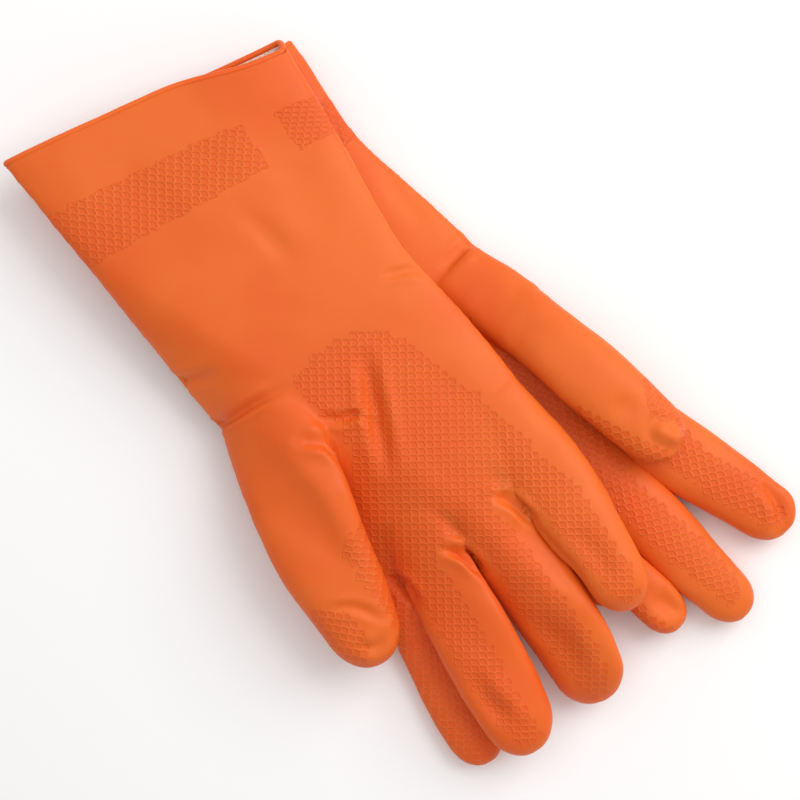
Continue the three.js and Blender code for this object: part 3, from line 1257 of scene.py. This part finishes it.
RIGHT = Glove(
    side="right",
    hand=Run(
        (
            (-29.5, 154.5, 6.0, 60.7, 6.5),
            (-26.5, 120.0, 6.6, 58.0, 7.1),
            (-23.0, 80.0, 6.9, 54.8, 7.4),
            (-19.5, 42.0, 7.0, 52.5, 7.6),
            (-10.5, 5.0, 7.2, 52.0, 7.8),
            (-3.9, -30.0, 7.2, 50.8, 7.8),
            (-0.9, -50.0, 7.0, 49.6, 7.4),
            (0.0, -58.0, 6.0, 44.5, 6.0),
        )
    ),
    stalls={
        Digit.THUMB: Run(
            (
                (-47.0, 46.0, 6.6, 15.0, 5.5),
                (-50.5, 27.0, 9.0, 17.5, 7.4),
                (-52.5, 9.0, 14.5, 20.2, 8.8),
                (-54.5, -10.0, 21.0, 21.3, 9.3),
                (-58.0, -38.0, 24.5, 19.7, 9.5),
                (-58.5, -62.0, 23.0, 17.0, 9.5),
                (-60.5, -89.0, 20.5, 13.0, 9.0),
            )
        ),
        Digit.INDEX: Run(
            (
                (-36.0, -42.0, 7.0, 12.5, 7.0),
                (-38.5, -75.0, 6.3, 12.5, 6.5),
                (-41.5, -105.0, 5.8, 12.0, 5.8),
                (-42.3, -130.0, 5.8, 12.0, 6.0),
                (-42.5, -148.0, 6.0, 9.8, 6.0),
            )
        ),
        Digit.MIDDLE: Run(
            (
                (-21.0, -42.0, 8.5, 13.5, 7.5),
                (-22.0, -72.0, 14.0, 15.2, 8.2),
                (-22.3, -100.0, 19.8, 16.3, 8.2),
                (-23.0, -130.0, 19.3, 15.2, 8.2),
                (-24.5, -151.5, 17.0, 12.0, 8.0),
            )
        ),
        Digit.RING: Run(
            (
                (6.0, -38.0, 7.6, 13.5, 7.2),
                (6.7, -56.0, 8.0, 15.0, 7.8),
                (7.6, -73.0, 8.0, 15.4, 8.2),
                (9.9, -96.0, 8.2, 16.4, 8.4),
                (11.6, -127.0, 8.5, 15.0, 8.8),
                (10.0, -148.5, 8.0, 12.0, 8.0),
            )
        ),
        Digit.LITTLE: Run(
            (
                (31.5, -18.0, 7.0, 14.0, 6.6),
                (34.6, -40.0, 7.8, 15.6, 7.8),
                (36.8, -60.0, 9.6, 16.2, 8.2),
                (37.6, -77.0, 11.4, 15.7, 8.2),
                (39.3, -93.0, 12.0, 13.2, 8.2),
                (39.5, -108.0, 11.4, 12.0, 8.0),
                (39.0, -119.5, 9.5, 10.0, 7.5),
            )
        ),
    },
    bends={
        HAND: Bend(112.0, 12.0, 16.0),
        "thumb": Bend(76.0, 12.0, 12.0),
        "index": Bend(46.0),
        "middle": Bend(50.0),
        "ring": Bend(48.0),
        "little": Bend(42.0, 9.0, 9.0),
    },
    folds=(
        Fold(((-17, 97), (-13, 84), (-10, 68)), 5.0, 1.4),
        Fold(((-52, 140), (-47, 110), (-44, 84)), 12.0, 1.3),
        Fold(((6, 132), (8, 104), (12, 70)), 10.0, 1.0),
        Fold(((-75, 51), (-66, 48), (-56, 47)), 2.4, 2.8, 0.5, Fade.END),
        Fold(((20, 46), (27, 44), (36, 39)), 1.8, 1.0, 0.3),
        Fold(((-76, 28), (-62, 28), (-48, 28), (-33, 26)), 1.9, 3.0, 0.8, Fade.END),
        Fold(((-76, 28), (-62, 28), (-48, 28), (-33, 26)), 1.9, 3.0, 0.8, Fade.END, on_thumb=True),
        Fold(((-4, 20), (-8, 9), (-13, -6), (-18, -20)), 3.2, 4.0, 1.0),
        Fold(((-22, 6), (-18, 3), (-13, -4)), 1.4, 1.3, 0.6),
        Fold(((14, 12), (20, -6), (24, -22)), 6.0, 0.8),
        Fold(((-30, 9), (-24, 5), (-15, 4)), 1.8, 2.0, 0.9),
        Fold(((-41, -60), (-37, -66), (-36, -74)), 2.2, 2.8, 0.7),
        Fold(((-14, -60), (-9, -66), (-6, -76)), 2.0, 3.2, 1.0),
        Fold(((-14, -58), (-8, -62), (-2, -63)), 1.7, -1.2),
        Fold(((14, -52), (18.5, -58), (21.5, -67)), 1.9, 2.8, 0.9),
        Fold(((11, -48), (17, -51), (23, -52)), 1.7, -1.2),
        Fold(((13, -64), (19, -82), (23, -100)), 6.5, 3.0),
        Fold(((-30, -110), (-30, -123), (-26, -135)), 4.5, 2.0),
        Fold(((-24, -114), (-22, -127), (-20, -139)), 3.5, -1.0),
        Fold(((2, -102), (7, -117), (8, -131)), 5.0, 2.0),
        Fold(((16, -110), (15, -124), (14, -138)), 3.5, -0.8),
        Fold(((33, -78), (36, -91), (37, -104)), 5.0, 2.0),
        Fold(((-42, 6), (-34, 0), (-30, -10)), 2.4, 1.8, 0.7, on_thumb=True),
        Fold(((-52, 14), (-46, -14), (-46, -46), (-48, -74)), 5.0, -1.4, on_thumb=True),
        Fold(((-66, -58), (-58, -62), (-50, -72)), 1.8, 1.2, 0.4, on_thumb=True),
        Fold(((-63, -77), (-58, -81), (-53, -79)), 2.2, 1.6, 0.5, on_thumb=True),
    ),
    grips=(
        (
            (-33, 29), (-22, 32), (-7, 33), (4, 29), (10, 25), (16, 15), (22, -2), (28, -14), (34, -33),
            (38, -48), (43, -64), (27, -62), (24, -53), (14, -50), (10, -60), (-3, -60), (-8, -56),
            (-19, -62), (-34, -68), (-41, -64), (-39, -36), (-34, -22), (-25, -1), (-27, 8), (-31, 12),
            (-33, 21),
        ),
        (
            (-34, -60), (-33, -98), (-33, -111), (-32, -123), (-28, -146), (-17, -146), (-18, -122),
            (-18, -92), (-20, -60),
        ),
        (
            (-4, -58), (0, -76), (-1, -98), (2, -117), (6, -144), (14, -144), (19, -130), (19, -120),
            (17, -104), (14, -74), (11, -58),
        ),
        (
            (26, -58), (27, -70), (29, -80), (31, -90), (33, -103), (35, -114), (43, -115), (46, -102),
            (45, -83), (43, -60),
        ),
        ((-60, -66), (-60, -160), (-39.5, -160), (-39.5, -66)),
    ),
    thumb_grips=(
        (
            (-44, -37), (-50, -42), (-50, -48), (-49, -61), (-47, -72), (-50, -90), (-40, -95),
            (-20, -60), (-30, -30),
        ),
        ((-74, -56), (-66, -58), (-61, -64), (-60, -74), (-62, -82), (-64, -92), (-80, -80)),
    ),
    spread={
        Digit.THUMB: ((-2.0, 0.0, 4.0), 44.0, 18.0),
        Digit.INDEX: ((-8.5, 0.0, -1.0), 10.0, 27.0),
        Digit.MIDDLE: ((0.0, 0.0, 5.5), 16.0, 18.0),
        Digit.RING: ((3.5, 0.0, 0.0), 20.0, 18.0),
        Digit.LITTLE: ((9.0, 0.0, 0.0), 22.0, 33.0),
    },
    thumb_root=26.0,
    lean=11.5,
    band_gap=(27.0, 40.5),
    gape=(5.5, 8.0, 48.0),
    pile=Pile(),
    seed=11.0,
)

LEFT = Glove(
    side="left",
    hand=Run(
        (
            (-22.8, 132.8, 6.0, 60.7, 6.5),
            (-12.0, 86.7, 6.5, 54.0, 7.0),
            (0.0, 52.0, 6.6, 52.8, 7.2),
            (8.1, 26.9, 6.8, 52.5, 7.4),
            (18.0, -5.0, 7.0, 50.0, 7.6),
            (28.0, -32.0, 7.0, 50.0, 7.6),
            (34.0, -48.0, 6.8, 50.0, 7.4),
            (36.0, -55.0, 6.0, 46.0, 6.0),
        )
    ),
    stalls={
        Digit.THUMB: Run(
            (
                (44.0, 36.0, 8.5, 14.0, 7.0),
                (53.0, 18.0, 12.0, 14.5, 7.5),
                (63.5, -8.0, 21.0, 14.0, 8.5),
                (72.0, -32.0, 25.5, 15.0, 9.0),
                (79.5, -55.0, 26.0, 13.8, 9.0),
                (87.0, -74.0, 25.5, 11.5, 9.0),
            )
        ),
        Digit.INDEX: Run(
            (
                (70.0, -34.0, 7.5, 13.5, 7.2),
                (80.0, -58.0, 7.5, 14.5, 7.5),
                (88.0, -76.0, 8.0, 15.2, 8.0),
                (95.5, -91.0, 8.5, 14.4, 8.5),
                (104.0, -108.0, 8.5, 13.0, 8.5),
                (112.0, -126.0, 8.0, 10.5, 8.0),
            )
        ),
        Digit.MIDDLE: Run(
            (
                (48.0, -38.0, 7.6, 13.0, 7.3),
                (56.5, -68.0, 8.0, 14.0, 8.0),
                (63.0, -90.0, 8.2, 14.8, 8.3),
                (67.5, -105.0, 8.3, 14.0, 8.5),
                (73.0, -126.0, 8.3, 12.4, 8.5),
                (79.5, -148.0, 8.0, 10.5, 8.0),
            )
        ),
        Digit.RING: Run(
            (
                (25.0, -38.0, 8.5, 12.5, 6.5),
                (30.5, -65.0, 12.6, 10.5, 4.4),
                (38.5, -90.0, 14.0, 9.5, 3.8),
                (46.0, -112.0, 13.3, 9.8, 4.0),
                (50.0, -126.0, 10.5, 9.8, 6.2),
                (53.0, -139.0, 8.5, 8.5, 7.2),
            )
        ),
        Digit.LITTLE: Run(
            (
                (3.0, -34.0, 6.5, 12.5, 6.5),
                (14.0, -65.0, 4.6, 11.5, 4.6),
                (26.0, -90.0, 3.8, 10.5, 3.8),
                (33.5, -106.0, 3.8, 10.0, 3.8),
                (37.5, -117.0, 3.8, 8.5, 3.8),
            )
        ),
    },
    bends={
        HAND: Bend(112.0, 12.0, 16.0),
        "thumb": Bend(62.0),
        "index": Bend(46.0),
        "middle": Bend(44.0),
        "ring": Bend(21.0, 7.0, 6.0),
        "little": Bend(37.0, 9.0, 8.0),
    },
    folds=(
        Fold(((64, 44), (52, 40), (38, 36)), 2.2, 2.0, 0.5, Fade.END),
        Fold(((46, 92), (42, 76), (46, 58)), 4.0, 0.9),
        Fold(((111, -103), (113, -111), (112.5, -117), (108, -123)), 2.8, 3.4, 0.9),
        Fold(((117, -108), (117.5, -116), (112, -124)), 1.6, -0.9),
        Fold(((50, -121), (54, -129), (57, -135)), 4.2, 3.0, 0.5),
        Fold(((72, -43), (80, -51)), 5.0, 1.2, on_thumb=True),
        Fold(((84, -63), (87, -67)), 2.7, -1.9, -0.8, Fade.NONE, on_thumb=True),
        Fold(((87.5, -63), (88.5, -66)), 1.3, 1.0, on_thumb=True),
    ),
    grips=(
        ((-20, 30), (30, 36), (58, -20), (66, -60), (62, -70), (10, -70), (-30, 0)),
        (
            (50, -45), (54, -62), (55, -82), (58, -97), (63, -111), (67, -124), (76, -142), (84, -134),
            (82, -127), (80, -116), (75, -103), (71, -90), (66, -77), (64, -45),
        ),
        (
            (70, -56), (78, -72), (83, -83), (89, -93), (95, -104), (101, -114), (106, -125), (115, -118),
            (110, -106), (109, -100), (103, -90), (98, -80), (92, -56),
        ),
        ((36, -116), (41, -131), (47, -140), (55, -141), (47, -131), (41, -118)),
    ),
    thumb_grips=(
        ((56, -33), (64, -45), (78, -64), (82, -70), (86, -90), (60, -80), (46, -40)),
        ((86, -42), (84, -57), (90, -62), (90, -70), (94, -82), (104, -60), (95, -40)),
    ),
    spread={
        Digit.THUMB: ((3.0, 1.0, 4.0), 30.0, 18.0),
        Digit.INDEX: ((6.0, 2.5, 0.0), 9.0, 25.0),
        Digit.MIDDLE: ((0.0, 0.0, 0.0), 12.0, 18.0),
        Digit.RING: ((-4.0, -1.5, 3.0), 12.0, 18.0),
        Digit.LITTLE: ((-8.0, -3.0, 0.0), 9.0, 26.0),
    },
    thumb_root=22.0,
    lean=-3.0,
    seed=47.0,
)


def main() -> None:
    """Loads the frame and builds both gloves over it."""
    logging.basicConfig(level=logging.INFO, format="%(name)s: %(message)s")
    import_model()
    Studio().build()
    latex, flock = Latex().material(), Flock().material()
    for glove in (LEFT, RIGHT):
        for piece in glove.build(latex, flock):
            LOG.info("%s: %d faces", piece.name, len(piece.data.polygons))


if __name__ == "__main__":
    main()
